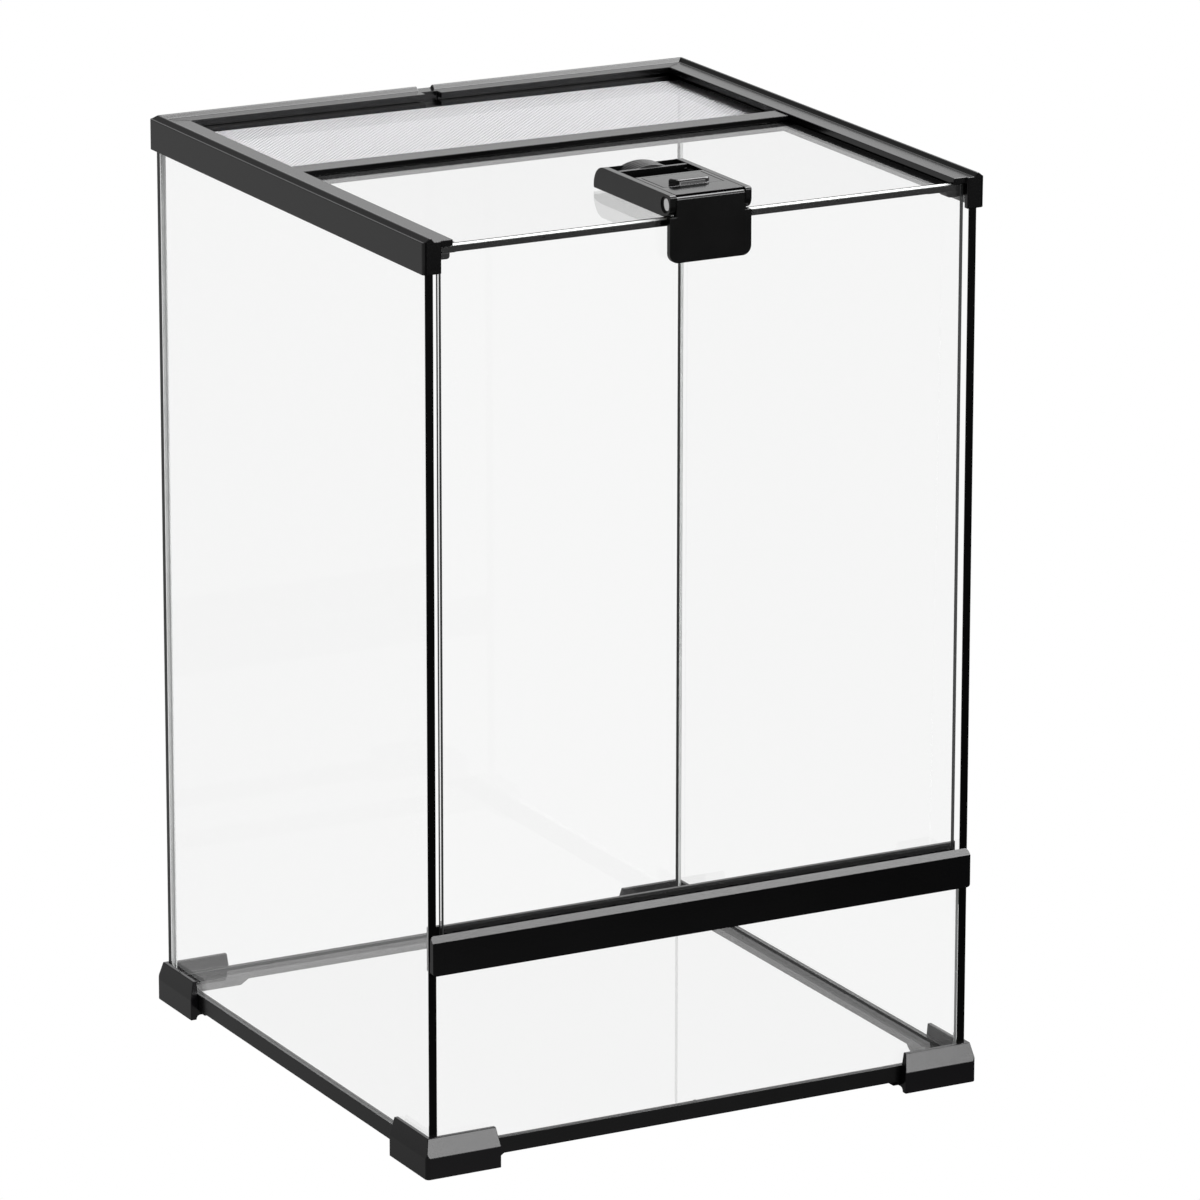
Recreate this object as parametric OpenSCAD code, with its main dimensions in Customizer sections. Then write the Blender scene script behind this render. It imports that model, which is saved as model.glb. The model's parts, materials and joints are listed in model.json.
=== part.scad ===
// Glass reptile terrarium. A frameless glass tank stands on four corner feet.
// Its front is in two: a fixed pane below, and a loose door pane that stands in
// the groove of a cross bar and is held at the top by the flap of a lock.
// A moulded frame carries a glass cover in front and a gauze panel behind.
// Millimetres. Origin at the middle of the footprint, on the table; front is -Y.

/* [Tank] */
// Width over the feet
foot_w = 300; // [240:1:600]
// Depth over the feet
foot_d = 300; // [240:1:600]
// Height of the top of the cover glass
glass_top = 449.3; // [340:0.1:700]
// Thickness of the glass
pane_t = 4; // [3:0.1:5]
// Clearance of a pane in a groove
pane_fit = 0.3; // [0.1:0.05:0.5]
// Black edging on the bare glass edges
trim_t = 0.5; // [0.3:0.1:1]
// Leg of the silicone bead in the rear corners
seal_leg = 1; // [0.9:0.1:3]
// Radius of the bead's hollow face
seal_hollow = 0.75; // [0.4:0.01:0.85]

/* [Feet] */
// How far a foot stands out beside the glass
foot_proud_x = 4; // [2.5:0.1:6]
// How far a foot stands out before and behind the glass
foot_proud_y = 5; // [3.5:0.1:8]
// Length of a foot along each pane
foot_leg = 39.5; // [25:0.5:80]
// Height of a foot's outer wall
foot_top = 19.7; // [16:0.1:40]
// Height at which the outer wall begins to lean in
foot_bevel_z = 10.5; // [6:0.1:14]
// How far the side wall leans in
foot_bevel_x = 2; // [0.5:0.1:2.2]
// How far the front or rear wall leans in
foot_bevel_y = 2.8; // [0.5:0.1:3.2]
// How far the end of a wall leans in
foot_bevel_end = 1.4; // [0.5:0.1:3]
// Radius of the upright outer corner
foot_round = 2; // [0.5:0.1:4]
// How far the base of a foot reaches in under the glass
foot_base_w = 9.2; // [6:0.1:20]
// Height of the base of a foot, which carries the edging
foot_base_h = 5; // [4.5:0.1:5.5]
// Thickness of the rim that a foot stands on
foot_rim = 3.2; // [2:0.1:4.5]
// Radius of the cove between the rim and the underside of the base
foot_cove = 2; // [0.5:0.1:2.2]
// Length of the tongue at each end of a base
tongue_l = 6.6; // [5:0.1:12]
// Thickness of the base plate and its tongues
tongue_t = 2.7; // [1.8:0.1:2.9]
// Run of the tongue's sloped end
tongue_slope = 4; // [1:0.1:6]
// How far a tongue lies behind the outer glass face
tongue_back = 2.2; // [0:0.1:5]

/* [Base] */
// Height of the edging that carries the panes
edge_h = 8.3; // [8:0.1:14]
// Width of the ledge that carries the base pane
edge_ledge_w = 5; // [3:0.1:10]
// Thickness of that ledge
edge_ledge_t = 3.4; // [2:0.1:3.8]

/* [Front bar] */
// Height of the bar's lower edge
bar_z = 100.2; // [60:0.1:160]
// Height of the bar's upright face
bar_face_h = 16.3; // [14:0.1:24]
// How far the bar stands out before the glass
bar_proud = 4; // [3.5:0.1:5]
// Drop of the sloped top edge
bar_bevel_h = 2.7; // [1:0.1:4]
// Depth of the groove over the lower pane
bar_low_groove = 4.3; // [3:0.1:5]
// Thickness of the web between the two grooves
bar_web = 2; // [1.5:0.1:4]
// Height of the lip behind the door, above the bar's lower edge
bar_lip_h = 21.6; // [18:0.1:26]
// Thickness of the lip behind the door
bar_lip_t = 2; // [1.2:0.1:4]
// Gap before the door, which lets it tip
door_tip_gap = 0.8; // [0.7:0.05:1.2]
// How far the bar's ends stay inside the outer glass faces
bar_inset = 0.3; // [0.3:0.1:2]
// Radius of the corners at the bar's ends
bar_round = 1.6; // [0.5:0.1:3]

/* [Door] */
// Gap between the door and each side pane
door_side_gap = 3.3; // [3:0.1:6]
// How far the door stands before the glass
door_proud = 0.2; // [0:0.05:0.5]
// Gap between the door and the front edge of the cover glass
door_back_gap = 0.5; // [0.3:0.1:1]

/* [Top frame] */
// How far the frame stands out beside the glass
frame_proud_x = 2.4; // [1.5:0.1:2.8]
// How far the frame stands out before and behind the glass
frame_proud_y = 3.2; // [2:0.1:3.4]
// Height of the frame's flat above the cover glass
flat_h = 3.3; // [3:0.1:5]
// Height of the skirt below the flat
skirt_h = 15.2; // [12:0.1:30]
// Height of the ridge above the flat
ridge_h = 1.9; // [1:0.1:4]
// Foot of the ridge on the outside, from the skirt's face
ridge_out = 0.7; // [0.3:0.1:1.2]
// Run of the ridge's outer slope
ridge_slope = 2.4; // [1.5:0.1:4]
// Width of the ridge's top
ridge_top = 1; // [0.5:0.1:2]
// Run of the ridge's inner slope
ridge_fall = 1.6; // [1:0.1:3]
// Width of a side rail
rail_w = 15.9; // [14:0.1:20]
// Width of the rear rail
rear_w = 13.9; // [13.2:0.1:18]
// Depth of the groove that takes the cover glass
rail_groove = 6.7; // [4:0.1:7]
// Width of the ledge beyond the rail
rail_ledge_w = 7.3; // [4:0.1:12]
// Thickness of the ledge
rail_ledge_t = 2; // [1.5:0.1:4]
// Distance from the cover glass's front edge to the ledge's front end
ledge_setback = 6.5; // [6:0.1:20]
// Height above the ledge of the slot in the rear rail's inner wall
slot_z = 2.8; // [1.5:0.1:3]
// Height of that slot
slot_h = 1.65; // [0.8:0.05:2]
// Depth of that slot
slot_d = 4; // [2:0.1:6]
// Width of the tab behind each top corner of the door
tab_w = 7.5; // [4:0.1:10]
// Thickness of that tab
tab_t = 3; // [2:0.1:5]
// How far the flat stops behind the frame's front face
flat_setback = 1.5; // [0.5:0.1:2]
// Radius of the frame's upright corners
frame_round = 2; // [0.5:0.1:4]

/* [Cross rail and gauze] */
// Front edge of the cross rail, behind the middle
cross_y = 11.6; // [-60:0.1:60]
// Width of the cross rail
cross_w = 12.8; // [11:0.1:20]
// How far the cross rail lies below the frame's flat
cross_drop = 0.7; // [0:0.1:1]
// Depth of its grooves
cross_groove = 4; // [3:0.1:4.5]
// Thickness of the gauze panel
gauze_t = 0.8; // [0.5:0.1:1.5]
// Width of the panel's plain border
gauze_border = 5; // [3:0.1:10]
// Wires across the panel
gauze_nx = 23; // [8:1:25]
// Wires along the panel
gauze_ny = 9; // [4:1:10]
// Width of a wire
gauze_wire = 0.8; // [0.5:0.1:1.2]

/* [Cable notch] */
// Width of the notch in the rear rail
notch_w = 8.5; // [5:0.1:20]
// Radius of its rounded mouth
notch_mouth = 2.4; // [1:0.1:4]
// How far the channel reaches back into the flat
notch_channel = 5; // [3:0.1:6]

/* [Lock] */
// Width of the lock
lock_w = 43.2; // [36:0.1:60]
// Height of the lock above its pad
lock_h = 11.1; // [10.5:0.1:12]
// How far the lock stands out before the glass
lock_proud = 5; // [4.5:0.1:6]
// Length of the lock
lock_l = 75.4; // [70:0.1:110]
// Thickness of its side walls
lock_wall = 3.3; // [2.5:0.1:5]
// Thickness of its floor
lock_floor = 2; // [1.5:0.1:3]
// Thickness of its closed rear end
lock_end = 6; // [4:0.1:8]
// Thickness of the pad that bonds it to the cover glass
pad_t = 1; // [0.6:0.1:1.2]
// Radius of the pad's corners
pad_round = 2; // [1:0.1:4]
// Distance from the lock's front face to the pin, and down from its top
ear_r = 5.2; // [5:0.1:5.4]
// Radius of the edges at the front top
ear_round = 1.4; // [0.5:0.1:2]
// Radius of the rear ends
lock_rear_r = 9.4; // [6:0.1:10]
// Diameter of the hinge pin
pin_d = 6.4; // [4:0.1:6.6]
// Running clearance of the flap on the pin
pin_run = 0.05; // [0.02:0.01:0.1]
// Depth of the sink around each end of the pin
pin_sink = 0.9; // [0.5:0.1:1.5]
// Width of that sink
pin_sink_w = 0.7; // [0.3:0.1:0.9]
// Thickness of the flap
flap_t = 3; // [2:0.1:3.2]
// Length of the flap below the pin
flap_drop = 27.2; // [20:0.1:50]
// Radius of the flap's lower corners
flap_round = 4.6; // [1:0.1:8]
// Radius of the flap's barrel on the pin
barrel_r = 4.1; // [3.8:0.1:4.2]
// Side clearance of the flap and the slider
lock_fit = 0.3; // [0.1:0.05:0.5]
// Length of the slider
slider_l = 39.1; // [30:0.1:50]
// How far the slider's lip stays behind the lock's front face
slider_back = 1.9; // [1.5:0.1:3]
// Thickness of the slider
slider_t = 2; // [1.5:0.1:3]
// Thickness of its lip over the flap
slider_lip_t = 0.5; // [0.4:0.05:0.6]
// Travel of the slider
slider_travel = 15; // [12:0.5:16]
// Width of the runner under each edge of the slider
runner_w = 1.5; // [1:0.1:3]
// Thickness of that runner
runner_t = 2; // [1:0.1:3]
// Length of the knob
knob_l = 20.5; // [12:0.5:30]
// Width of the knob
knob_w = 8; // [5:0.5:12]
// Height of the knob
knob_h = 2.6; // [1.5:0.1:5]
// Distance of the knob behind the lock's front face
knob_y = 21.5; // [16:0.5:26]
// Radius of the knob's upper edge
knob_round = 1.4; // [0.5:0.1:1.5]
// Width of the engraved line round the knob
mark_w = 0.4; // [0.3:0.05:0.6]
// Depth of that line
mark_t = 0.3; // [0.2:0.05:0.5]
// Distance of that line from the slider's side and rear edges
mark_inset = 2; // [1.5:0.1:3]
// Gap between the knob and the line before it
mark_gap = 0.7; // [0.4:0.1:1]
// Width of the cross bar behind the slider
stop_w = 2; // [1.5:0.1:4]
// How far that bar stays below the top of the walls
stop_drop = 0.2; // [0.1:0.1:1]
// Radius of the arched grip
grip_r = 22.6; // [20:0.1:40]
// Rise of the grip above the lock's walls
grip_rise = 0.8; // [0:0.1:3]
// Number of ribs on the grip
grip_ribs = 6; // [3:1:8]
// Depth of the grooves between the ribs
grip_groove = 0.5; // [0.2:0.1:1]
// Share of a rib and its groove that the rib takes
grip_share = 0.6; // [0.3:0.1:0.8]

/* [Hidden] */
$fn = 96;
past = 1; // how far a cutting shape runs past the surface that it cuts

// outer and inner faces of the glass
gx = foot_w / 2 - foot_proud_x;
gy = foot_d / 2 - foot_proud_y;
ix = gx - pane_t;
iy = gy - pane_t;
// base
edge_top = foot_base_h + edge_h;
base_pane_z = foot_base_h + edge_ledge_t;
// front bar and door
door_front = -gy - door_proud;
door_back = door_front + pane_t;
low_pane_top = bar_z + bar_low_groove - pane_fit;
groove_z = bar_z + bar_low_groove + bar_web;
door_z = groove_z + pane_fit;
door_x = ix - door_side_gap;
bar_front = -gy - bar_proud;
bar_lip_y = door_back + pane_fit;
bar_back = bar_lip_y + bar_lip_t;
// top frame
frame_x = gx + frame_proud_x;
frame_y = gy + frame_proud_y;
flat_z = glass_top + flat_h;
skirt_z = flat_z - skirt_h;
ledge_z = glass_top - pane_t;
pane_top = glass_top - pane_fit;
groove_x = frame_x - rail_w + rail_groove;
cover_x = groove_x - pane_fit;
cover_front = door_back + door_back_gap;
cross_back = cross_y + cross_w;
gauze_back = frame_y - rear_w - pane_fit;
// lock
lock_z = glass_top + pad_t;
lock_top = lock_z + lock_h;
lock_x = lock_w / 2;
lock_in = lock_x - lock_wall;
lock_front = -gy - lock_proud;
lock_rear = lock_front + lock_l;
pin_y = lock_front + ear_r;
pin_z = lock_top - ear_r;
pin_r = pin_d / 2;
lock_floor_y = pin_y + ear_r;
slider_front = lock_front + slider_back;
slider_rear = slider_front + slider_l;
stop_y = slider_rear + slider_travel + lock_fit;
flap_in = lock_in - lock_fit;
pin_press = pin_run / 4; // clearance of the pin in the walls
shoulder_z = pin_z - ear_r - lock_fit / 2;

// a box between two opposite corners
module span(a, b) { translate(a) cube(b - a); }

// an outline drawn in Y and Z, carried along X from x0 to x1
module along_x(x0, x1) { translate([x0, 0, 0]) rotate([90, 0, 90]) linear_extrude(x1 - x0) children(); }

// an outline drawn in X and Z, carried along Y from y0 to y1
module along_y(y0, y1) { translate([0, y1, 0]) rotate([90, 0, 0]) linear_extrude(y1 - y0) children(); }

// a rectangle with round corners, between two opposite corners
module round_box(a, b, r) {
    translate(a + [r, 0]) square(b - a - [2 * r, 0]);
    translate(a + [0, r]) square(b - a - [0, 2 * r]);
    for (x = [a[0] + r, b[0] - r], y = [a[1] + r, b[1] - r]) translate([x, y]) circle(r);
}

// ---- glass ----

module base_pane() {
    color("aliceblue", 0.4)
        span([-ix + pane_fit, -iy + pane_fit, base_pane_z],
            [ix - pane_fit, iy - pane_fit, base_pane_z + pane_t]);
}

module side_pane(side) {
    x = side > 0 ? ix : -gx;
    color("aliceblue", 0.4) span([x, -gy + trim_t, edge_top], [x + pane_t, iy, pane_top]);
}

module rear_pane() { color("aliceblue", 0.4) span([-gx, iy, edge_top], [gx, gy, pane_top]); }

module lower_front_pane() {
    x = ix - pane_fit;
    color("aliceblue", 0.4) span([-x, -gy, edge_top], [x, -iy, low_pane_top]);
}

module door_pane() {
    color("aliceblue", 0.4) span([-door_x, door_front, door_z], [door_x, door_back, glass_top]);
}

module top_pane() {
    color("aliceblue", 0.4)
        span([-cover_x, cover_front + trim_t, ledge_z],
            [cover_x, cross_y + cross_groove - pane_fit, glass_top]);
}

// ---- black edging and silicone ----

module side_trim(side) {
    x = side > 0 ? ix : -gx;
    color("black") span([x, -gy, edge_top], [x + pane_t, -gy + trim_t, pane_top]);
}

module top_trim() {
    color("black") span([-cover_x, cover_front, ledge_z], [cover_x, cover_front + trim_t, glass_top]);
}

// a hollow bead in the corner between a side pane and the rear pane
module corner_seal() {
    color("dimgray") translate([ix, iy, edge_top]) linear_extrude(ledge_z - rail_ledge_t - pane_fit - edge_top)
        difference() {
            translate([-seal_leg, -seal_leg]) square(seal_leg);
            translate([-seal_leg, -seal_leg]) circle(seal_hollow);
        }
}

// ---- base edging: an angle section with mitred corners ----

// the part of the base that belongs to the +X side
module side_share(hx, hy, depth) {
    linear_extrude(glass_top) polygon([[hx + past, hy + past], [hx - depth, hy - depth],
        [hx - depth, depth - hy], [hx + past, -hy - past]]);
}

module edge_section() {
    square([pane_t, edge_h]);
    translate([pane_t - past, 0]) square([edge_ledge_w + past, edge_ledge_t]);
}

module base_edge_side() {
    depth = pane_t + edge_ledge_w + past;
    color("black") intersection() {
        along_y(-gy, gy) translate([gx, foot_base_h]) mirror([1, 0]) edge_section();
        side_share(gx, gy, depth);
    }
}

module base_edge_end() {
    depth = pane_t + edge_ledge_w + past;
    color("black") intersection() {
        along_x(-gx, gx) translate([gy, foot_base_h]) mirror([1, 0]) edge_section();
        mirror([1, -1, 0]) side_share(gy, gx, depth);
    }
}

// ---- feet ----

// the outline of a wall from its outer face to its end
module foot_wall(outer, bevel, reach, bevel_end) {
    polygon([[-outer, 0], [-outer, foot_bevel_z], [-outer + bevel, foot_top],
        [-outer + reach - bevel_end, foot_top], [-outer + reach, foot_bevel_z], [-outer + reach, 0]]);
}

// the front left foot; the others are its mirror images
module foot() {
    hx = foot_w / 2;
    hy = foot_d / 2;
    in_x = foot_proud_x + foot_base_w;
    in_y = foot_proud_y + foot_base_w;
    tongue_z = foot_base_h - tongue_t;
    color("black") {
        difference() {
            intersection() {
                union() {
                    intersection() {
                        along_y(-hy, -hy + in_y) foot_wall(hx, foot_bevel_x, foot_leg, foot_bevel_end);
                        along_x(-hx, -hx + foot_leg) foot_wall(hy, foot_bevel_y, in_y + foot_bevel_end, 0);
                    }
                    intersection() {
                        along_x(-hx, -hx + in_x) foot_wall(hy, foot_bevel_y, foot_leg, foot_bevel_end);
                        along_y(-hy, -hy + foot_leg) foot_wall(hx, foot_bevel_x, in_x + foot_bevel_end, 0);
                    }
                }
                linear_extrude(foot_top) round_box([-hx, -hy], [0, 0], foot_round);
            }
            span([-gx, -gy, foot_base_h], [0, 0, foot_top + past]);
            // open underside behind the rim
            intersection() {
                along_y(-hy, 0) foot_hollow(hx, tongue_z);
                along_x(-hx, 0) foot_hollow(hy, tongue_z);
            }
        }
        // tongues that lie under the edging past each end of the foot
        along_y(tongue_back - gy, -hy + in_y) tongue(-hx + foot_leg, tongue_z);
        along_x(tongue_back - gx, -hx + in_x) tongue(-hy + foot_leg, tongue_z);
    }
}

// the outline of the space under the base, from the rim inwards
module foot_hollow(outer, top) {
    start = foot_rim - outer;
    translate([start, -past]) square([-start, top - foot_cove + past]);
    translate([start + foot_cove, -past]) square([-start - foot_cove, top + past]);
    translate([start + foot_cove, top - foot_cove]) circle(foot_cove);
}

module tongue(start, z) {
    polygon([[start, z], [start + tongue_l - tongue_slope, z], [start + tongue_l, foot_base_h],
        [start, foot_base_h]]);
}

// ---- top frame ----

// the ridge and flat of a rail, from its outer face inwards
function rail_crown(w) = [[0, flat_z], [ridge_out, flat_z],
    [ridge_out + ridge_slope, flat_z + ridge_h],
    [ridge_out + ridge_slope + ridge_top, flat_z + ridge_h],
    [ridge_out + ridge_slope + ridge_top + ridge_fall, flat_z], [w, flat_z]];

// the channel over a pane's top edge, from inside to outside
function rail_channel(proud) = [[proud + pane_t + pane_fit, ledge_z - rail_ledge_t],
    [proud + pane_t + pane_fit, glass_top], [proud - pane_fit, glass_top], [proud - pane_fit, skirt_z]];

module side_section() {
    web = rail_w - rail_groove;
    polygon(concat([[0, skirt_z]], rail_crown(rail_w), [[rail_w, glass_top + pane_fit],
        [web, glass_top + pane_fit], [web, ledge_z - rail_ledge_t]], rail_channel(frame_proud_x)));
}

module rear_section() {
    low = ledge_z + slot_z;
    deep = rear_w - slot_d;
    polygon(concat([[0, skirt_z]], rail_crown(rear_w), [[rear_w, low + slot_h], [deep, low + slot_h],
        [deep, low], [rear_w, low], [rear_w, ledge_z], [rear_w + rail_ledge_w, ledge_z],
        [rear_w + rail_ledge_w, ledge_z - rail_ledge_t]], rail_channel(frame_proud_y)));
}

// plan of the right rail: mitred to the rear rail along a line that joins
// the outer corner, the foot of the ridge and the inner corner
module side_plan() {
    crown = ridge_out + ridge_slope + ridge_top + ridge_fall;
    lip_x = frame_x - rail_w;
    lip_y = frame_y - rear_w;
    polygon([[frame_x + past, frame_y + past], [frame_x - crown, frame_y - crown], [lip_x, lip_y],
        [lip_x - rail_ledge_w - past, lip_y - rail_ledge_w - past], [0, lip_y - lip_x - past],
        [0, -frame_y - past], [frame_x + past, -frame_y - past]]);
}

module rail_round() {
    translate([0, 0, skirt_z - past]) linear_extrude(skirt_h + ridge_h + 2 * past)
        round_box([-frame_x, -frame_y], [frame_x, frame_y], frame_round);
}

module side_rail() {
    ledge_front = cover_front + ledge_setback;
    web = rail_w - rail_groove;
    lip_x = frame_x - rail_w;
    color([0.1, 0.1, 0.1]) difference() {
        intersection() {
            union() {
                along_y(flat_setback - frame_y, frame_y) translate([frame_x, 0]) mirror([1, 0]) side_section();
                // closed front end over the pane's corner
                along_y(-frame_y, -gy - pane_fit) translate([frame_x, 0]) mirror([1, 0]) intersection() {
                    polygon(concat([[0, skirt_z]], rail_crown(rail_w), [[rail_w, skirt_z]]));
                    translate([0, skirt_z]) square([web, skirt_h + ridge_h]);
                }
                // ledge under the cover glass and the gauze
                span([frame_x - rail_w - rail_ledge_w, ledge_front, ledge_z - rail_ledge_t],
                    [groove_x + past, frame_y - rear_w, ledge_z]);
                along_x(frame_x - rail_w - rail_ledge_w, groove_x + past) polygon([[frame_y - rear_w, ledge_z],
                    [frame_y - rear_w, ledge_z - rail_ledge_t], [frame_y - frame_proud_y - pane_t - pane_fit,
                    ledge_z - rail_ledge_t], [frame_y - frame_proud_y - pane_t - pane_fit, ledge_z]]);
                // tab behind the door's top corner
                along_y(bar_lip_y, ledge_front + past) difference() {
                    translate([groove_x - tab_w, ledge_z - tab_t]) square([tab_w + past, tab_t]);
                    translate([groove_x - tab_w, ledge_z - tab_t]) difference() {
                        square(tab_t / 2);
                        translate([tab_t / 2, tab_t / 2]) circle(tab_t / 2);
                    }
                }
            }
            translate([0, 0, skirt_z - past]) linear_extrude(skirt_h + ridge_h + 2 * past) side_plan();
            rail_round();
        }
        // channel for the end of the rear pane
        span([lip_x, iy - pane_fit, skirt_z - past], [gx + pane_fit, gy + pane_fit, glass_top]);
    }
}

module rear_rail() {
    color([0.1, 0.1, 0.1]) difference() {
        intersection() {
            along_x(-frame_x, frame_x) translate([frame_y, 0]) mirror([1, 0]) rear_section();
            rail_round();
        }
        for (side = [0, 1]) mirror([side, 0, 0])
            translate([0, 0, skirt_z - 2 * past]) linear_extrude(skirt_h + ridge_h + 4 * past) side_plan();
        cable_notch();
    }
}

// through the ridge down to the flat, and down the inner wall to the gauze
module cable_notch() {
    hw = notch_w / 2;
    translate([0, 0, flat_z]) linear_extrude(ridge_h + past) {
        translate([-hw, frame_y - rear_w - past]) square([notch_w, rear_w + 2 * past]);
        for (side = [0, 1]) mirror([side, 0]) translate([hw, frame_y - notch_mouth]) difference() {
            translate([-past, 0]) square([notch_mouth + past, notch_mouth + past]);
            translate([notch_mouth, 0]) circle(notch_mouth);
        }
    }
    span([-hw, frame_y - rear_w - past, ledge_z + gauze_t + pane_fit],
        [hw, frame_y - rear_w + notch_channel, flat_z + past]);
}

module cross_rail() {
    inner_x = frame_x - rail_w - pane_fit;
    over = glass_top + pane_fit;
    color([0.1, 0.1, 0.1]) {
        along_x(-inner_x, inner_x) translate([cross_y, over]) square([cross_w, flat_z - cross_drop - over]);
        span([-cover_x, cross_y + cross_groove, ledge_z], [cover_x, cross_back - cross_groove, over]);
        span([-inner_x + rail_ledge_w, cross_y - rail_ledge_w, ledge_z - rail_ledge_t],
            [inner_x - rail_ledge_w, cross_back, ledge_z]);
    }
}

module top_gauze() {
    front = cross_back - cross_groove + pane_fit;
    net = [2 * (cover_x - gauze_border), gauze_back - front - 2 * gauze_border];
    cell = [(net[0] + gauze_wire) / gauze_nx, (net[1] + gauze_wire) / gauze_ny];
    color("gainsboro") translate([0, 0, ledge_z]) linear_extrude(gauze_t) difference() {
        translate([-cover_x, front]) square([2 * cover_x, gauze_back - front]);
        translate([-net[0] / 2, front + gauze_border])
            for (i = [0 : gauze_nx - 1], j = [0 : gauze_ny - 1])
                translate([i * cell[0], j * cell[1]]) square(cell - [gauze_wire, gauze_wire]);
    }
}

// ---- front bar ----

module bar_section() {
    lip_front = door_front - door_tip_gap;
    face_top = bar_z + bar_face_h;
    pane_y = -gy - pane_fit;
    polygon([[bar_front, bar_z], [bar_front, face_top], [lip_front, face_top + bar_bevel_h],
        [lip_front, groove_z], [bar_lip_y, groove_z], [bar_lip_y, bar_z + bar_lip_h],
        [bar_back, bar_z + bar_lip_h], [bar_back, bar_z], [-iy + pane_fit, bar_z],
        [-iy + pane_fit, low_pane_top + pane_fit], [pane_y, low_pane_top + pane_fit], [pane_y, bar_z]]);
}

module front_bar() {
    face_x = gx - bar_inset;
    inner_x = ix - pane_fit;
    color([0.08, 0.08, 0.08]) {
        along_x(-inner_x, inner_x) bar_section();
        intersection() {
            along_x(-face_x, face_x) bar_section();
            along_y(bar_front, -gy - pane_fit)
                round_box([-face_x, bar_z], [face_x, bar_z + bar_face_h + bar_bevel_h], bar_round);
        }
    }
}

// ---- lock ----

module lock_pad() {
    color("black") translate([0, 0, glass_top]) linear_extrude(pad_t)
        round_box([-lock_in, lock_floor_y], [lock_in, lock_rear - lock_wall], pad_round);
}

// side view of a wall: square front above the pin, round below it
module lock_side() {
    rear_y = lock_rear - lock_rear_r;
    translate([pin_y, pin_z]) circle(ear_r);
    translate([lock_front, pin_z]) square([ear_r, ear_r - ear_round]);
    translate([lock_front + ear_round, lock_top - ear_round]) circle(ear_round);
    translate([lock_front + ear_round, pin_z]) square([ear_r, ear_r]);
    translate([pin_y, lock_z]) square([rear_y - pin_y, lock_h]);
    intersection() {
        translate([rear_y, lock_top - lock_rear_r]) circle(lock_rear_r);
        translate([rear_y, lock_z]) square([lock_rear_r, lock_h]);
    }
}

// side view of the closed rear end
module rear_end() {
    intersection() {
        lock_side();
        translate([lock_rear - lock_end, lock_z]) square([lock_end, lock_h]);
    }
}

module lock_body() {
    runner_top = lock_top - slider_t - lock_fit / 2;
    color([0.16, 0.16, 0.16]) difference() {
        union() {
            for (side = [0, 1]) mirror([side, 0, 0]) {
                along_x(lock_in, lock_x) lock_side();
                // runner under the slider's edge
                span([lock_in - runner_w, lock_floor_y, runner_top - runner_t],
                    [lock_in + past, stop_y + past, runner_top]);
            }
            along_x(-lock_in - past, lock_in + past) rear_end();
            span([-lock_in - past, lock_floor_y, lock_z],
                [lock_in + past, lock_rear - lock_wall, lock_z + lock_floor]);
            // cross bar that stops the slider
            span([-lock_in - past, stop_y, lock_z], [lock_in + past, stop_y + stop_w, lock_top - stop_drop]);
        }
        along_x(-lock_x - past, lock_x + past) translate([pin_y, pin_z]) circle(pin_r + pin_press);
        for (side = [0, 1]) mirror([side, 0, 0])
            along_x(lock_x - pin_sink, lock_x + past) translate([pin_y, pin_z]) circle(pin_r + pin_sink_w);
    }
}

module lock_pin() {
    end = lock_x - pin_sink;
    color("silver") along_x(-end, end) translate([pin_y, pin_z]) circle(pin_r);
}

// an arched thumb pad with ribs that run across it, let into the closed rear end
module lock_grip() {
    front = stop_y + stop_w;
    pitch = (lock_rear - lock_wall - front) / grip_ribs;
    color([0.14, 0.14, 0.14]) difference() {
        for (i = [0 : grip_ribs - 1]) {
            along_y(front + i * pitch, front + (i + grip_share) * pitch) arch(grip_r);
            along_y(front + (i + grip_share) * pitch, front + (i + 1) * pitch) arch(grip_r - grip_groove);
        }
        along_x(-lock_x, lock_x) rear_end();
    }
}

module arch(r) {
    floor_z = lock_z + lock_floor;
    x = lock_in - lock_fit;
    intersection() {
        translate([0, lock_top + grip_rise - grip_r]) circle(r);
        translate([-x, floor_z]) square([2 * x, 2 * lock_h]);
    }
}

module lock_flap() {
    bottom = pin_z - flap_drop;
    back = lock_front + flap_t;
    top = pin_z + barrel_r;
    color([0.12, 0.12, 0.12]) difference() {
        union() {
            // plate below the ears
            along_y(lock_front, back) intersection() {
                round_box([-lock_x, bottom], [lock_x, shoulder_z + 2 * flap_round], flap_round);
                translate([-lock_x, bottom]) square([lock_w, shoulder_z - bottom]);
            }
            // knuckle between the ears
            along_x(-flap_in, flap_in) {
                translate([pin_y, pin_z]) circle(barrel_r);
                translate([lock_front, shoulder_z - past])
                    square([flap_t, top - ear_round - shoulder_z + past]);
                translate([lock_front, pin_z]) square([ear_r, barrel_r - ear_round]);
                translate([lock_front + ear_round, top - ear_round]) circle(ear_round);
                translate([lock_front + ear_round, pin_z]) square([ear_r - ear_round, barrel_r]);
            }
        }
        along_x(-lock_x, lock_x) translate([pin_y, pin_z]) circle(pin_r + pin_run);
    }
}

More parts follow.
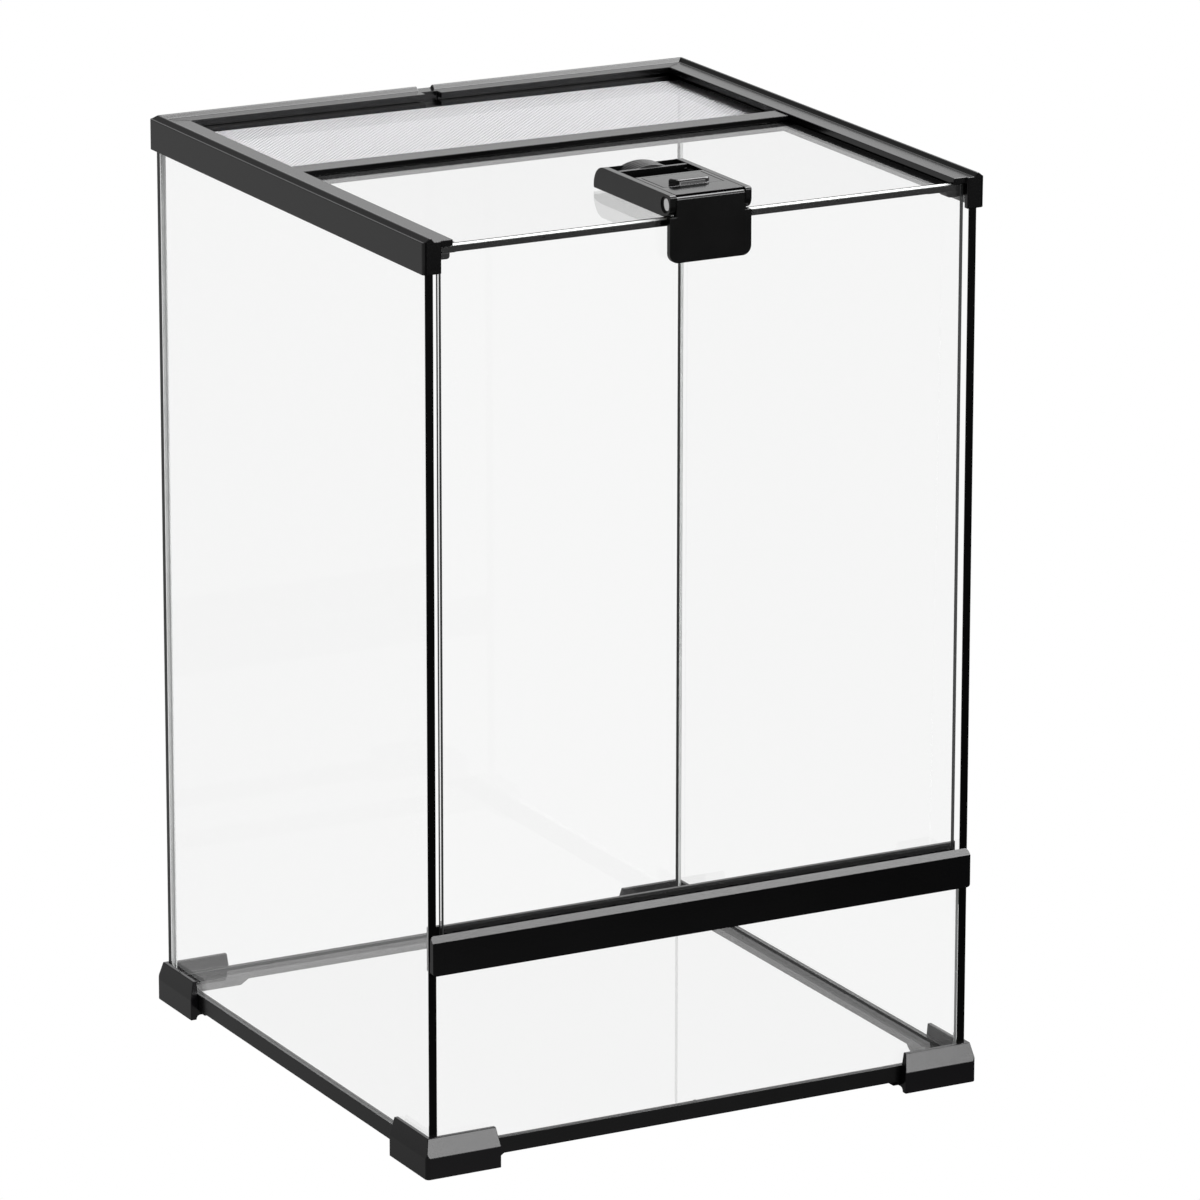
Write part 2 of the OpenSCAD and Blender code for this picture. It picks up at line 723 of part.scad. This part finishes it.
module lock_slider() {
    thick_y = lock_floor_y + lock_fit;
    mid_y = lock_front + knob_y;
    mark_x = flap_in - mark_inset;
    mark_front = mid_y - knob_w / 2 - mark_gap;
    mark_back = slider_rear - mark_inset;
    color([0.3, 0.3, 0.3]) {
        difference() {
            along_x(-flap_in, flap_in) difference() {
                translate([slider_front, lock_top - slider_t]) square([slider_l, slider_t]);
                // only the thin lip reaches forward of the lock's floor
                translate([slider_front - past, lock_top - slider_t - past])
                    square([thick_y - slider_front + past, slider_t - slider_lip_t + past]);
            }
            // engraved line round the knob
            translate([0, 0, lock_top - mark_t]) linear_extrude(mark_t + past) difference() {
                translate([-mark_x, mark_front]) square([2 * mark_x, mark_back - mark_front]);
                translate([mark_w - mark_x, mark_front + mark_w])
                    square([2 * (mark_x - mark_w), mark_back - mark_front - 2 * mark_w]);
            }
        }
        translate([0, mid_y, lock_top]) knob();
    }
}

// an oval knob with a round upper edge, rooted in the slider's thickness
module knob() {
    straight = (knob_l - knob_w) / 2;
    along_x(-straight, straight) for (side = [0, 1]) mirror([side, 0]) knob_half();
    for (x = [-straight, straight]) translate([x, 0, 0]) rotate_extrude() knob_half();
}

module knob_half() {
    root = slider_lip_t / 2;
    translate([0, -root]) square([knob_w / 2, root + knob_h - knob_round]);
    square([knob_w / 2 - knob_round, knob_h]);
    translate([knob_w / 2 - knob_round, knob_h - knob_round]) circle(knob_round);
}

base_pane();
side_pane(-1);  // left_pane
side_pane(1);  // right_pane
rear_pane();
lower_front_pane();
door_pane();
top_pane();
side_trim(-1);  // left_edge_trim
side_trim(1);  // right_edge_trim
top_trim();  // top_edge_trim
mirror([1, 0, 0]) corner_seal();  // rear_left_seal
corner_seal();  // rear_right_seal
mirror([1, 0, 0]) side_rail();  // left_rail
side_rail();  // right_rail
rear_rail();
cross_rail();
top_gauze();
front_bar();
mirror([0, 1, 0]) base_edge_end();  // base_edge_front
base_edge_end();  // base_edge_rear
mirror([1, 0, 0]) base_edge_side();  // base_edge_left
base_edge_side();  // base_edge_right
foot();  // foot_front_left
mirror([1, 0, 0]) foot();  // foot_front_right
mirror([0, 1, 0]) foot();  // foot_rear_left
mirror([1, 0, 0]) mirror([0, 1, 0]) foot();  // foot_rear_right
lock_pad();
lock_body();
lock_grip();
lock_pin();
lock_flap();
lock_slider();
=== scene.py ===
import json
from math import pi, radians

import bmesh
import bpy
import numpy as np
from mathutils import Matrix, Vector

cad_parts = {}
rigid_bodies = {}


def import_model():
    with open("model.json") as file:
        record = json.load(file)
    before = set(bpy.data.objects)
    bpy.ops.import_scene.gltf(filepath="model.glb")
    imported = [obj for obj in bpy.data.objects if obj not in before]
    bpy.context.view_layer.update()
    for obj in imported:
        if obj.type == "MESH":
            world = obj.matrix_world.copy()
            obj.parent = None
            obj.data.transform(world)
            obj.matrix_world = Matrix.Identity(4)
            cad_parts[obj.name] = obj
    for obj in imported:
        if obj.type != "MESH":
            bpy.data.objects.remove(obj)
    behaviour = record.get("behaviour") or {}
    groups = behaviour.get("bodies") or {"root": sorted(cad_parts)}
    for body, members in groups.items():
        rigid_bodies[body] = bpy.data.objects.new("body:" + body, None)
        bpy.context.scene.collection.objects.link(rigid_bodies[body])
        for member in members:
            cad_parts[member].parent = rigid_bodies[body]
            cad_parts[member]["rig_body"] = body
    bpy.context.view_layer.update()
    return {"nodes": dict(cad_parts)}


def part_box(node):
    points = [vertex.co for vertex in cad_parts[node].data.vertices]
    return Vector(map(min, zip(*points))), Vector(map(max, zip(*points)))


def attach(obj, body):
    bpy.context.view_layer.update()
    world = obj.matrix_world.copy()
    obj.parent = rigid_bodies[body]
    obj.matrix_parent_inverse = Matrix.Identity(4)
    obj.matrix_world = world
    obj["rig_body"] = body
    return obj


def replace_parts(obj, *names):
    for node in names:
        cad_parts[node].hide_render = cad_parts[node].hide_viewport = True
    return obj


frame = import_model()
nodes = frame["nodes"]
print("frame loaded with", len(nodes), "solids")


# ---- camera
cameraLook = {
    "place": (-1.71689, -3.26244, 1.28622),
    "aim": (0.017, -0.00918, 0.2264),
    "lens": 236.057, "sensor": 36,         # mm
    "roll": 0.069,                         # degrees
}

camera = bpy.data.objects.new("camera", bpy.data.cameras.new("camera"))
bpy.context.scene.collection.objects.link(camera)
camera.data.lens = cameraLook["lens"]
camera.data.sensor_width = cameraLook["sensor"]
camera.data.clip_end = 100
camera.location = cameraLook["place"]
camera.rotation_euler = (Vector(cameraLook["aim"]) - camera.location).to_track_quat("-Z", "Y").to_euler()
camera.rotation_euler.rotate_axis("Z", radians(cameraLook["roll"]))
bpy.context.scene.camera = camera
bpy.context.scene.view_settings.view_transform = "Standard"
print("camera set")


class Wire:
    # one socket of a node tree, so that shader maths reads as plain sums
    def __init__(self, tree, socket=None):
        self.tree = tree
        self.socket = socket

    def node(self, kind, settings=None, sockets=None, out=0):
        # any node: its settings go in first, then a value or a wire for each socket
        made = self.tree.nodes.new("ShaderNode" + kind)
        for name, value in (settings or {}).items():
            setattr(made, name, value)
        for name, value in (sockets or {}).items():
            if isinstance(value, Wire):
                self.tree.links.new(value.socket, made.inputs[name])
            else:
                made.inputs[name].default_value = value
        return Wire(self.tree, made.outputs[out] if made.outputs else None)

    def maths(self, operation, *values):
        return self.node("Math", {"operation": operation}, dict(enumerate(values)))

    def __add__(self, other):
        return self.maths("ADD", self, other)

    def __sub__(self, other):
        return self.maths("SUBTRACT", self, other)

    def __rsub__(self, other):
        return self.maths("SUBTRACT", other, self)

    def __mul__(self, other):
        return self.maths("MULTIPLY", self, other)

    __radd__ = __add__
    __rmul__ = __mul__

    def step(self, low, high):
        # 0 up to low, 1 from high, smooth between
        return self.node("MapRange", {"interpolation_type": "SMOOTHSTEP"},
                         {"Value": self, "From Min": low, "From Max": high})


def newMaterial(name):
    material = bpy.data.materials.new(name)
    material.use_nodes = True
    material.node_tree.nodes.clear()
    return material, Wire(material.node_tree)


def shown(start, shader, kind="OutputMaterial"):
    start.node(kind, {}, {"Surface": shader})


# ---- studio: white to the camera and in the glass, and to the plastic a darker room with two soft boxes
studioLook = {
    "leftSky": 0.2, "rightSky": 0.93,      # brightness of the room that the plastic mirrors, left and right
    "skyFade": (-0.25, 0.45),              # where the left side turns into the right one
    "mirroredWhite": 0.85,                 # brightness of all that the glass mirrors
    "floorFront": 0.015, "floorBack": 0.42,
    "floorFade": (-0.9, 0.9),              # metres, from the front right to the back left
    "floorSize": 60, "floorDrop": 0.0002,  # the floor lies just below the feet
    "boxes": {
        "overBox": {"aim": (0.54, 0.04, 0.84), "away": 2.45, "size": (1.6, 2.6), "glow": 10.0},
        "frontBox": {"aim": (0.33, -0.91, 0.25), "away": 2.6, "size": (1.2, 0.65), "glow": 6.9},
    },
}


def seenLight(start, room, look):
    # white where the camera sees it straight or through clear glass, a little less where the glass mirrors it,
    # and the room's own brightness for light and for what the plastic mirrors
    camera = start.node("LightPath", out="Is Camera Ray")
    sharp = camera.maths("MAXIMUM", camera, start.node("LightPath", out="Is Singular Ray"))
    mirrored = camera.maths("MINIMUM", start.node("LightPath", out="Glossy Depth"), 1.0)
    white = 1 - mirrored * (1 - look["mirroredWhite"])
    return room + sharp * (white - room)


def studio(look):
    world = bpy.data.worlds.new("studio")
    bpy.context.scene.world = world
    world.use_nodes = True
    world.node_tree.nodes.clear()
    start = Wire(world.node_tree)
    direction = start.node("TexCoord", out="Generated")
    side = start.node("SeparateXYZ", {}, {"Vector": direction}, out="X")
    room = side.step(*look["skyFade"]) * (look["rightSky"] - look["leftSky"]) + look["leftSky"]
    glow = seenLight(start, room, look)
    shown(start, start.node("Background", {}, {"Color": (1, 1, 1, 1), "Strength": glow}), "OutputWorld")

    bpy.ops.mesh.primitive_grid_add(x_subdivisions=4, y_subdivisions=4, size=look["floorSize"])
    floor = bpy.context.object
    floor.name = "floor"
    material, start = newMaterial("paleFloor")
    place = start.node("TexCoord", out="Object")
    x = start.node("SeparateXYZ", {}, {"Vector": place}, out="X")
    y = start.node("SeparateXYZ", {}, {"Vector": place}, out="Y")
    shade = (y - x).step(*look["floorFade"]) * (look["floorBack"] - look["floorFront"]) + look["floorFront"]
    shown(start, start.node("Emission", {}, {"Strength": seenLight(start, shade, look)}))
    floor.data.materials.append(material)
    floor.location.z = -look["floorDrop"]

    for name, box in look["boxes"].items():
        bpy.ops.mesh.primitive_grid_add(x_subdivisions=2, y_subdivisions=2, size=1)
        panel = bpy.context.object
        panel.name = name
        aim = Vector(box["aim"]).normalized()
        panel.scale = (*box["size"], 1)
        panel.location = aim * box["away"]
        panel.rotation_euler = (-aim).to_track_quat("-Z", "Y").to_euler()
        material, start = newMaterial(name + "Glow")
        glow = start.node("Value")
        glow.socket.default_value = box["glow"]
        shown(start, start.node("Emission", {}, {"Strength": seenLight(start, glow, look)}))
        panel.data.materials.append(material)
        panel.visible_camera = False


studio(studioLook)
print("studio lit")


# ---- finishes
mouldedLook = {
    "grainGloss": 0.06,                    # how far the grain moves the gloss
    "darkest": 0.82, "toneDrift": 0.35,    # tone of the colour, and how far it drifts
    "poreScale": 0.6,                      # size of the pores against the grain
    "grainShare": 0.7, "poreShare": 0.3, "bumpDepth": 0.0001,
}


def plasticFinish(name, look):
    # moulded plastic: two sizes of grain in the bump, and gloss that drifts slowly over the piece
    material, start = newMaterial(name)
    place = start.node("TexCoord", out="Object")
    drift = start.node("TexNoise", {}, {"Vector": place, "Scale": look["driftScale"], "Detail": 3.0})
    grain = start.node("TexNoise", {}, {
        "Vector": place, "Scale": look["grainScale"], "Detail": 4.0, "Roughness": 0.6})
    pores = start.node("TexVoronoi", {}, {
        "Vector": place, "Scale": look["grainScale"] * mouldedLook["poreScale"]})
    roughness = (look["roughness"] + (drift - 0.5) * look["driftGloss"]
                 + (grain - 0.5) * mouldedLook["grainGloss"])
    tone = drift * mouldedLook["toneDrift"] + mouldedLook["darkest"]
    colour = start.node("Mix", {"data_type": "RGBA", "blend_type": "MULTIPLY"},
                        {0: 1.0, 6: (*look["colour"], 1), 7: start.node(
                            "CombineColor", {}, {"Red": tone, "Green": tone, "Blue": tone})}, out=2)
    bump = start.node("Bump", {}, {
        "Strength": look["grainDepth"], "Distance": mouldedLook["bumpDepth"],
        "Height": grain * mouldedLook["grainShare"] + pores * mouldedLook["poreShare"]}, out="Normal")
    shown(start, start.node("BsdfPrincipled", {}, {
        "Base Color": colour, "Roughness": roughness, "IOR": look["ior"], "Normal": bump}))
    return material


def glassFinish(name, look):
    # clear float glass, with a trace of grey
    material, start = newMaterial(name)
    shown(start, start.node("BsdfPrincipled", {}, {
        "Base Color": (*look["colour"], 1), "Roughness": 0.0, "IOR": look["ior"], "Transmission Weight": 1.0}))
    return material


def metalFinish(name, look):
    # drawn steel: fine streaks in the gloss
    material, start = newMaterial(name)
    place = start.node("TexCoord", out="Object")
    streaks = start.node("TexNoise", {}, {
        "Vector": start.node("Mapping", {}, {"Vector": place, "Scale": look["stretch"]}),
        "Scale": look["streakScale"]})
    shown(start, start.node("BsdfPrincipled", {}, {
        "Base Color": (*look["colour"], 1), "Metallic": 1.0,
        "Roughness": look["roughness"] + (streaks - 0.5) * look["streak"]}))
    return material


finishes = {
    "frame": plasticFinish("framePlastic", {
        "colour": (0.003, 0.003, 0.0032), "roughness": 0.18, "ior": 1.5, "driftScale": 18, "driftGloss": 0.08,
        "grainScale": 2600, "grainDepth": 0.12}),
    "edging": plasticFinish("edgingPlastic", {
        "colour": (0.003, 0.003, 0.0032), "roughness": 0.24, "ior": 1.5, "driftScale": 24, "driftGloss": 0.08,
        "grainScale": 2200, "grainDepth": 0.12}),
    "foot": plasticFinish("footPlastic", {
        "colour": (0.0035, 0.003, 0.004), "roughness": 0.17, "ior": 1.5, "driftScale": 30, "driftGloss": 0.08,
        "grainScale": 2200, "grainDepth": 0.16}),
    "lock": plasticFinish("lockPlastic", {
        "colour": (0.005, 0.005, 0.0051), "roughness": 0.18, "ior": 1.5, "driftScale": 60, "driftGloss": 0.06,
        "grainScale": 3000, "grainDepth": 0.1}),
    "slider": plasticFinish("sliderPlastic", {
        "colour": (0.003, 0.003, 0.0031), "roughness": 0.12, "ior": 1.5, "driftScale": 60, "driftGloss": 0.06,
        "grainScale": 3000, "grainDepth": 0.08}),
    "silicone": plasticFinish("blackSilicone", {
        "colour": (0.008, 0.008, 0.008), "roughness": 0.42, "ior": 1.42, "driftScale": 90, "driftGloss": 0.2,
        "grainScale": 700, "grainDepth": 0.1}),
    "edge": plasticFinish("edgeBlack", {
        "colour": (0.0015, 0.0015, 0.0015), "roughness": 0.3, "ior": 1.2, "driftScale": 60, "driftGloss": 0.1,
        "grainScale": 900, "grainDepth": 0.05}),
    "foam": plasticFinish("padFoam", {
        "colour": (0.02, 0.02, 0.02), "roughness": 0.8, "ior": 1.4, "driftScale": 90, "driftGloss": 0.1,
        "grainScale": 1200, "grainDepth": 0.6}),
    "glass": glassFinish("clearGlass", {"colour": (0.966, 0.967, 0.966), "ior": 1.28}),
    # painted shade: a dark finish on glass edges, standing in for the dark lines that refraction and inner
    # reflection make there
    "paintedEdgeShade": plasticFinish("edgeShadePainted", {
        "colour": (0.05, 0.053, 0.052), "roughness": 0.35, "ior": 1.4, "driftScale": 60, "driftGloss": 0.1,
        "grainScale": 1500, "grainDepth": 0.1}),
    # painted light: a pale finish on glass edges and on the left seal, standing in for light coming through
    # clear glass
    "paintedEdgeLight": plasticFinish("edgeLightPainted", {
        "colour": (0.86, 0.88, 0.87), "roughness": 0.25, "ior": 1.5, "driftScale": 60, "driftGloss": 0.1,
        "grainScale": 1500, "grainDepth": 0.1}),
    "pin": metalFinish("pinSteel", {
        "colour": (0.97, 0.97, 0.975), "roughness": 0.12, "streak": 0.1, "streakScale": 900.0,
        "stretch": (0.1, 1, 1)}),
    "gauze": metalFinish("gauzeSteel", {
        "colour": (0.64, 0.635, 0.655), "roughness": 0.35, "streak": 0.1, "streakScale": 900.0,
        "stretch": (1, 1, 1)}),
}
print("finishes made:", len(finishes))


# ---- solids kept or softened
def bodyOf(node):
    return nodes[node]["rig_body"]


def paint(obj, finish):
    obj.data.materials.clear()
    obj.data.materials.append(finishes[finish])
    return obj


mergeLook = {"gap": 2e-6, "flatness": 0.5}  # metres and degrees within which corners and faces are joined


def softened(node, look):
    # the solid's own faces with its sharp edges rounded: a copy is merged, flat faces joined, then bevelled
    mesh = bpy.data.meshes.new(node + "Soft")
    bm = bmesh.new()
    bm.from_mesh(nodes[node].data)
    bmesh.ops.remove_doubles(bm, verts=bm.verts, dist=mergeLook["gap"])
    bmesh.ops.dissolve_limit(bm, angle_limit=radians(mergeLook["flatness"]), verts=bm.verts, edges=bm.edges)
    bm.to_mesh(mesh)
    bm.free()
    made = bpy.data.objects.new(node + "Soft", mesh)
    bpy.context.scene.collection.objects.link(made)
    (mesh.shade_flat if look.get("flat") else mesh.shade_smooth)()
    bevel = made.modifiers.new("roundedEdges", "BEVEL")
    bevel.width = look["round"]
    bevel.segments = look.get("segments", 2)
    bevel.limit_method = "ANGLE"
    bevel.angle_limit = radians(look.get("angle", 30))
    bevel.use_clamp_overlap = look.get("clamp", False)
    bevel.miter_outer = "MITER_ARC"
    if not look.get("flat"):
        made.modifiers.new("flatFaces", "WEIGHTED_NORMAL").weight = 100
    paint(made, look["finish"])
    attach(made, bodyOf(node))
    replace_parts(made, node)
    return made


paneLook = {"round": 0.00025, "segments": 1, "flat": True, "finish": "glass", "slot": "glass"}
# the door: painted shade on its rounded arrises and in strips along its left edge
doorLook = dict(paneLook, arrisShadePainted=True,
                edgeShadeStrips={"front": 0.0006, "edgeFront": 0.0011, "edgeBack": 0.0019})
paneSlots = ["glass", "paintedEdgeShade", "paintedEdgeLight"]
sameWay = 0.99  # two directions count as one from this cosine up
# the edges that show, as the way that each faces and its finish: dark painted shade or pale painted light,
# matched to how the glass edges look
panes = {
    "base_pane": {}, "top_pane": {},
    "left_pane": {(0, 0, -1): "paintedEdgeShade", (0, 1, 0): "paintedEdgeLight"},
    "right_pane": {(0, 0, -1): "paintedEdgeShade", (0, 1, 0): "paintedEdgeLight"},
    "rear_pane": {(0, 0, -1): "paintedEdgeShade", (-1, 0, 0): "paintedEdgeShade", (1, 0, 0): "paintedEdgeShade"},
    "lower_front_pane": {(0, 0, -1): "paintedEdgeShade", (1, 0, 0): "paintedEdgeLight"},
    "door_pane": {(1, 0, 0): "paintedEdgeShade", (0, 0, 1): "paintedEdgeLight"},
}


def edgeShadeStrips(mesh, node, wide):
    # painted shade along both arrises of the door's left edge: strips are cut on that edge and on the front
    # face, and these get the dark edge finish
    low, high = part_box(node)
    front, edgeFront, edgeBack = low.x + wide["front"], low.y + wide["edgeFront"], high.y - wide["edgeBack"]
    bm = bmesh.new()
    bm.from_mesh(mesh)
    cuts = [((front, 0, 0), (1, 0, 0)), ((0, edgeFront, 0), (0, 1, 0)), ((0, edgeBack, 0), (0, 1, 0))]
    for place, facing in cuts:
        bmesh.ops.bisect_plane(bm, geom=[*bm.verts, *bm.edges, *bm.faces], plane_co=place, plane_no=facing)
    for face in bm.faces:
        middle = face.calc_center_median()
        onEdge = face.normal.x < -sameWay and not edgeFront < middle.y < edgeBack
        onFace = face.normal.y < -sameWay and middle.x < front
        if onEdge or onFace:
            face.material_index = paneSlots.index("paintedEdgeShade")
    bm.to_mesh(mesh)
    bm.free()


def glassPane(node, look, edges):
    made = softened(node, look)
    for finish in paneSlots[1:]:
        made.data.materials.append(finishes[finish])
    if look.get("edgeShadeStrips"):
        edgeShadeStrips(made.data, node, look["edgeShadeStrips"])
    for facing, finish in edges.items():
        for face in made.data.polygons:
            if face.normal.dot(Vector(facing)) > sameWay:
                face.material_index = paneSlots.index(finish)
    # painted shade: the door's rounded arrises get the dark edge finish
    if look.get("arrisShadePainted"):
        made.modifiers["roundedEdges"].material = paneSlots.index("paintedEdgeShade")
    # plastic mirrors the room and not the clear panes before it
    made.visible_glossy = made.visible_diffuse = made.visible_shadow = False


for pane, edges in panes.items():
    glassPane(pane, doorLook if pane == "door_pane" else paneLook, edges)

for trim in ["left_edge_trim", "right_edge_trim", "top_edge_trim"]:
    paint(nodes[trim], "edge")
paint(nodes["rear_left_seal"], "paintedEdgeLight")  # painted light: the pale finish that stands in for lit clear glass, the finish in which it shows least
paint(nodes["rear_right_seal"], "silicone")
paint(nodes["lock_pad"], "foam")
print("glass, edges and seals done")

railLook = {"round": 0.0003, "flat": True, "angle": 14, "finish": "frame", "slot": "frame_plastic"}
for rail in ["left_rail", "right_rail", "rear_rail", "cross_rail"]:
    softened(rail, railLook)

barLook = {"round": 0.0003, "flat": True, "clamp": True, "finish": "frame", "slot": "edging_plastic"}
softened("front_bar", barLook)

edgingLook = {"round": 0.0003, "finish": "edging", "slot": "edging_plastic"}
for edge in ["base_edge_front", "base_edge_rear", "base_edge_left", "base_edge_right"]:
    softened(edge, edgingLook)

footLook = {"round": 0.0003, "flat": True, "angle": 14, "finish": "foot", "slot": "foot_plastic"}
for foot in ["foot_front_left", "foot_front_right", "foot_rear_left", "foot_rear_right"]:
    softened(foot, footLook)
print("rails, bar, edging and feet done")

lockLook = {"round": 0.00022, "finish": "lock", "slot": "lock_plastic"}
softened("lock_body", lockLook)
softened("lock_grip", dict(lockLook, round=0.00015))
softened("lock_flap", lockLook)
softened("lock_slider", {"round": 0.00018, "finish": "slider", "slot": "slider_plastic"})
softened("lock_pin", {"round": 0.0004, "finish": "pin", "slot": "pin_steel"})
print("lock done")


# ---- gauze
def tubes(name, rings):
    # rings is an array of wire x station x corner x 3:
    # quads join each ring to the next, and one more closes each end
    wires, stations, corners = rings.shape[:3]
    index = np.arange(wires * stations * corners).reshape(wires, stations, corners)
    a, b = index[:, :-1], index[:, 1:]
    walls = np.stack([a, np.roll(a, -1, 2), np.roll(b, -1, 2), b], -1).reshape(-1, 4)
    caps = np.concatenate([index[:, 0, ::-1], index[:, -1]]).reshape(-1, 4)
    quads = np.concatenate([walls, caps])
    mesh = bpy.data.meshes.new(name)
    mesh.vertices.add(index.size)
    mesh.loops.add(quads.size)
    mesh.polygons.add(len(quads))
    mesh.vertices.foreach_set("co", rings.astype(np.float32).ravel())
    mesh.loops.foreach_set("vertex_index", quads.ravel().astype(np.int32))
    mesh.polygons.foreach_set("loop_start", np.arange(0, quads.size, 4, dtype=np.int32))
    mesh.update(calc_edges=True)
    mesh.shade_smooth()
    made = bpy.data.objects.new(name, mesh)
    bpy.context.scene.collection.objects.link(made)
    return made


gauzeLook = {"pitch": 0.0014, "wire": 0.000285}


def gauze(look):
    # plain weave: each wire passes over one crossing wire and under the next,
    # half a wire up and half a wire down
    low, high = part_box("top_gauze")
    middle = (low + high) / 2
    r = look["wire"] / 2
    turn = np.arange(4) * pi / 2 + pi / 4

    def family(name, axis, phase):
        other = 1 - axis
        stations = np.arange(low[axis] + look["pitch"] / 2, high[axis], look["pitch"])
        wires = np.arange(low[other] + look["pitch"] / 2, high[other], look["pitch"])
        w, s = np.meshgrid(np.arange(len(wires)), np.arange(len(stations)), indexing="ij")
        lift = np.where((w + s + phase) % 2 == 0, r, -r)
        rings = np.zeros((len(wires), len(stations), 4, 3))
        rings[..., axis] = stations[None, :, None]
        rings[..., other] = wires[:, None, None] + np.cos(turn) * r
        rings[..., 2] = middle.z + lift[..., None] + np.sin(turn) * r * (1 if axis == 0 else -1)
        made = tubes(name, rings)
        made.data.materials.append(finishes["gauze"])
        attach(made, "tank")
        return made

    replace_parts(family("gauzeWeft", 0, 0), "top_gauze")
    family("gauzeWarp", 1, 1)


gauze(gauzeLook)
print("gauze woven")
